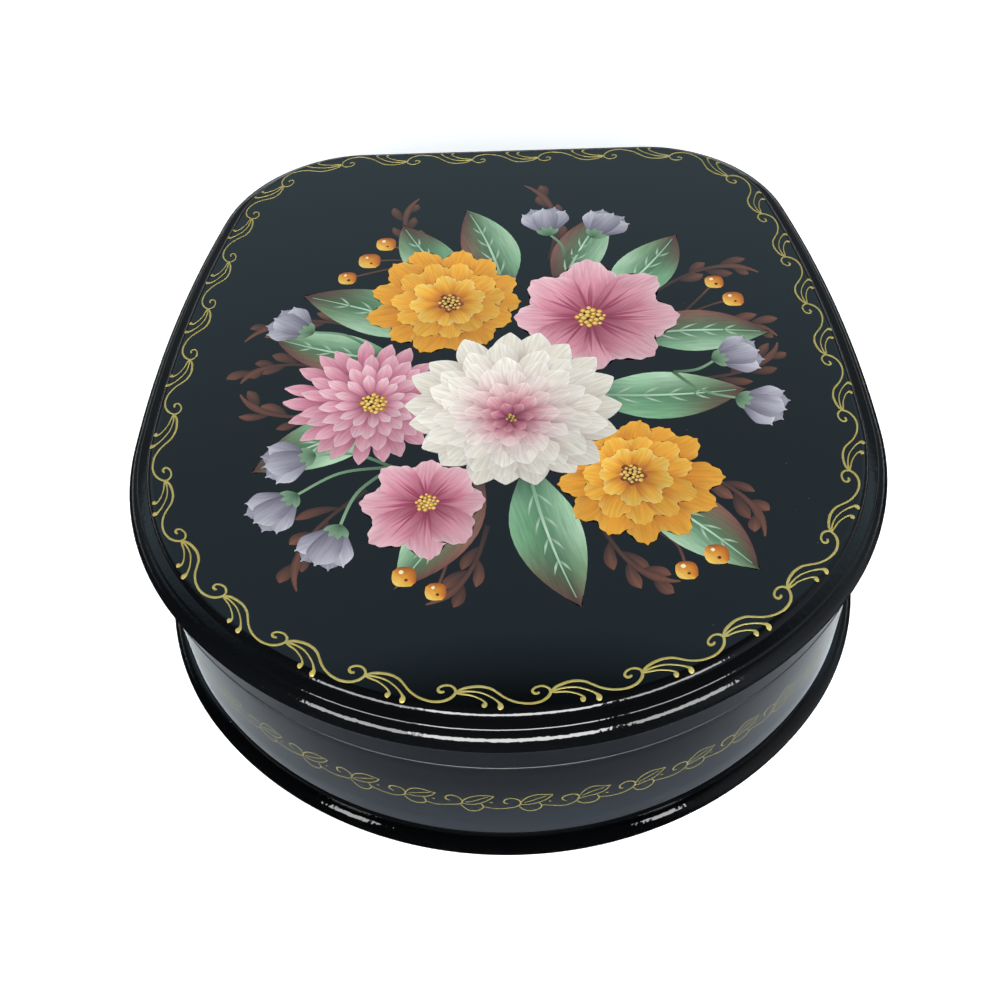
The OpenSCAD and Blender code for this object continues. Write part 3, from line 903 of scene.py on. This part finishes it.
# Marigolds: two orange blooms of three rows of blunt petals.
# The rows are laid from the outside in, each paler than the last, round an eye of brown and yellow dots.
marigold_rows = [
    [["#8f3a0c", "#9c430e", "#8f3a0c"], ["#d27f17", "#e0901d", "#c87513"], ["#f2b53a", "#eda62c", "#f5c04a"]],
    [["#9c430e", "#a94d10", "#9c430e"], ["#dd8d1b", "#eaa026", "#d58316"], ["#f6c64e", "#f1b238", "#f8cf60"]],
    [["#a94d10", "#b65a12", "#a94d10"], ["#e59a22", "#efac30", "#dd9020"], ["#fad872", "#f5c34c", "#fbdf84"]],
]
marigold_sizes = [(13, 4.0, 13.0, 6.2), (11, 2.6, 9.6, 5.2), (9, 1.4, 6.4, 3.8)]
for centre, size, lift, lean in (((-10, 20), 1.12, 0.085, (-0.08, 0.1)), ((21, -24), 1.0, 0.11, (0.1, -0.08))):
    for k, (count, inner, outer, breadth) in enumerate(marigold_sizes):
        whorl("orange_marigolds", centre, count, inner * size, outer * size, breadth * size, marigold_rows[k],
              lift + 0.012 * k, turn=11 * k, lean=lean, waist=0.45, full=0.78, blunt=0.72, crown=0.16, frill=0.03)
    dots("orange_marigolds", centre, 2.0 * size, 16, 0.55, [["#6a3410"], ["#8a4a16"]], lift + 0.04)
    dots("orange_marigolds", centre, 1.9 * size, 20, 0.32, [["#f3d877"], ["#d9a83a"]], lift + 0.048)

# Cosmos: two pink blooms of eight broad frilled petals.
# Thin dark streaks are drawn from the heart over the petals, and the eye is dotted in brown and yellow.
cosmos = [["#8c2b48", "#9c3a55", "#8c2b48"], ["#d07f93", "#dd93a3", "#c87389"], ["#f0cbd0", "#e6b1bb", "#f5d9db"]]
cosmos_streak = [["#8c2b48"], ["#a84a66"], ["#cf8598"]]
for centre, size, lift, lean in (((16, 15), 1.08, 0.085, (0.1, 0.06)), ((-13, -29), 0.74, 0.085, (-0.08, -0.08))):
    whorl("pink_cosmos", centre, 8, 1.6 * size, 14.0 * size, 9.8 * size, cosmos, lift, lean=lean, waist=0.3,
          full=0.75, blunt=0.7, crown=0.2, frill=0.02, columns=12)
    for k in range(3):
        whorl("pink_cosmos", centre, 8, 1.8 * size, (8.4 + k) * size, 0.5 * size, cosmos_streak, lift + 0.013,
              turn=-9 + 9 * k, lean=lean, waist=0.5, full=0.3, columns=2)
    dots("pink_cosmos", centre, 2.3 * size, 18, 0.55 * size, [["#a8641a"], ["#c98a24"]], lift + 0.022)
    dots("pink_cosmos", centre, 2.5 * size, 22, 0.36 * size, [["#f7e08a"], ["#ecc04a"]], lift + 0.03)

# Aster: a rose-pink bloom of four rows of narrow petals, palest at the tips.
# The rows are laid from the outside in, and the eye is dotted in brown and yellow.
aster_rows = [
    [["#6d1f3a", "#7c2946", "#6d1f3a"], ["#bb6a82", "#c97a90", "#ad5c75"], ["#eec5cd", "#e0a6b3", "#e8b8c2"]],
    [["#7c2946", "#8a3452", "#7c2946"], ["#c5758b", "#d3869a", "#b96880"], ["#f2d0d5", "#e6b1bc", "#edc2ca"]],
    [["#862f4c", "#953d5a", "#862f4c"], ["#cd8194", "#da93a4", "#c17489"], ["#f6dcdf", "#ebbec7", "#f1cdd3"]],
    [["#8a3350", "#9c4560", "#8a3350"], ["#d48c9d", "#e09fae", "#c98093"], ["#f8e3e4", "#efc8cf", "#f4d6da"]],
]
aster_sizes = [(22, 6.4, 14.6, 3.1), (20, 4.7, 12.0, 2.9), (17, 3.2, 9.2, 2.6), (13, 1.9, 6.4, 2.1)]
aster_centre = (-23, -6)
for k, (count, inner, outer, breadth) in enumerate(aster_sizes):
    whorl("pink_aster", aster_centre, count, inner, outer, breadth, aster_rows[k], 0.11 + 0.012 * k, turn=7 * k,
          lean=(-0.1, 0.06), waist=0.5, full=0.65, blunt=0.3, crown=0.06)
dots("pink_aster", aster_centre, 2.4, 20, 0.5, [["#a8641a"], ["#c98a24"]], 0.16)
dots("pink_aster", aster_centre, 2.3, 24, 0.34, [["#f7e08a"], ["#ecc04a"]], 0.168)

# Dahlia: the large cream bloom in front, of seven rows of pointed petals that turn pink towards the heart.
# It is laid last, over the edges of its neighbours, with a few yellow dots in the heart.
dahlia_rows = [
    [["#7c6468", "#8f7678", "#75605f"], ["#d5c9b9", "#e4dac9", "#c5b7aa"], ["#f7f2e6", "#eee6d6", "#fbf7ee"]],
    [["#8c6c70", "#a0807f", "#84686a"], ["#ddd1c2", "#e9dfd0", "#cdbdb1"], ["#f9f5ea", "#f1eadb", "#fcf9f1"]],
    [["#9a6f74", "#b08786", "#916a6e"], ["#e2d3c6", "#ede1d3", "#d4c0b6"], ["#fbf6ec", "#f3ebde", "#fdf9f2"]],
    [["#98606a", "#b07a80", "#8e5863"], ["#e0c3bd", "#ecd6cd", "#d0aeac"], ["#fbf2ea", "#f4e6dc", "#fdf6f0"]],
    [["#8a4456", "#a25c6a", "#803d4f"], ["#d4a0a4", "#e2b8b7", "#c38d94"], ["#f8e6e0", "#efd3cd", "#faece7"]],
    [["#742c42", "#8c4256", "#6b273c"], ["#bf7481", "#cf8d96", "#ae6473"], ["#f0ccca", "#e4b3b4", "#f4d8d5"]],
    [["#5c1c32", "#742f45", "#54182d"], ["#a04c62", "#b5667a", "#923f56"], ["#e2a8ad", "#d28f98", "#e9b9bb"]],
]
dahlia_sizes = [
    (19, 9.0, 19.0, 6.4), (17, 7.4, 16.2, 6.0), (15, 5.8, 13.4, 5.4), (13, 4.4, 10.8, 4.8), (11, 3.0, 8.2, 4.0),
    (9, 1.8, 5.8, 3.2), (7, 0.6, 3.6, 2.3),
]
for k, (count, inner, outer, breadth) in enumerate(dahlia_sizes):
    whorl("cream_dahlia", (1, -9 - 0.25 * k), count, inner, outer, breadth, dahlia_rows[k], 0.165 + 0.012 * k,
          turn=9.5 * k, lean=(0.03, 0.08), waist=0.55, full=0.55, blunt=0.06, columns=10)
dots("cream_dahlia", (1, -10.6), 0.9, 7, 0.3, [["#7a3a20"], ["#e8c468"]], 0.255)

# Oil colours: pigment ground in oil, laid with a full brush whose hairs leave fine lighter and darker lines.
# The varnish over it is as glossy as the lacquer, so the picture lies under the same soft sheen.
oil_colours, tree, out = new_material("varnished oil colours")
tint = add(tree, "Attribute", attribute_name="paint")
brush = add(tree, "UVMap", uv_map="brush")
drawn_out = add(tree, "Mapping", {"Vector": brush.outputs[0], "Scale": (1 / 0.45, 1 / 5.0, 1.0)})
hairs = add(tree, "TexNoise", {"Vector": drawn_out.outputs[0], "Scale": 1.0, "Detail": 3.0})
place = add(tree, "TexCoord").outputs["Object"]
uneven = add(tree, "TexNoise", {"Vector": place, "Scale": 1 / (7 * MM), "Detail": 2.0})
streak = add(tree, "MapRange", {0: hairs.outputs["Fac"], 1: 0.3, 2: 0.7, 3: 0.84, 4: 1.14})
pigment = add(tree, "HueSaturation", {"Value": streak.outputs[0], "Color": tint.outputs["Color"]})
varnish = add(tree, "MapRange", {0: uneven.outputs["Fac"], 1: 0.3, 2: 0.7, 3: 0.07, 4: 0.13})
ridges = add(tree, "Bump", {"Strength": 0.12, "Distance": 0.01 * MM, "Height": hairs.outputs["Fac"]})
oil = add(tree, "BsdfPrincipled", {
    "Base Color": pigment.outputs[0], "Roughness": varnish.outputs[0], "Normal": ridges.outputs[0], "IOR": 1.5,
})
tree.links.new(oil.outputs[0], out.inputs["Surface"])
pictures = []
for name, store in strokes.items():
    painted = solid(name, store["points"], store["faces"], [oil_colours])
    pictures.append(painted)
    tints = painted.data.color_attributes.new("paint", "FLOAT_COLOR", "POINT")
    tints.data.foreach_set("color", [c for tint in store["tones"] for c in tint])
    brushed = painted.data.uv_layers.new(name="brush")
    brushed.data.foreach_set("uv", [c for loop in painted.data.loops for c in store["marks"][loop.vertex_index]])
    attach(painted, "lid")
# From behind, the flat of the lid would mirror the strips, so flags keep them off it and off the picture;
# the base has its own panes
flag("kept_from_strips", strips, [base_board, field_coat, *pictures], "EXCLUDE")
flag("lit_by_picture_light", [picture_light], pictures, "INCLUDE")
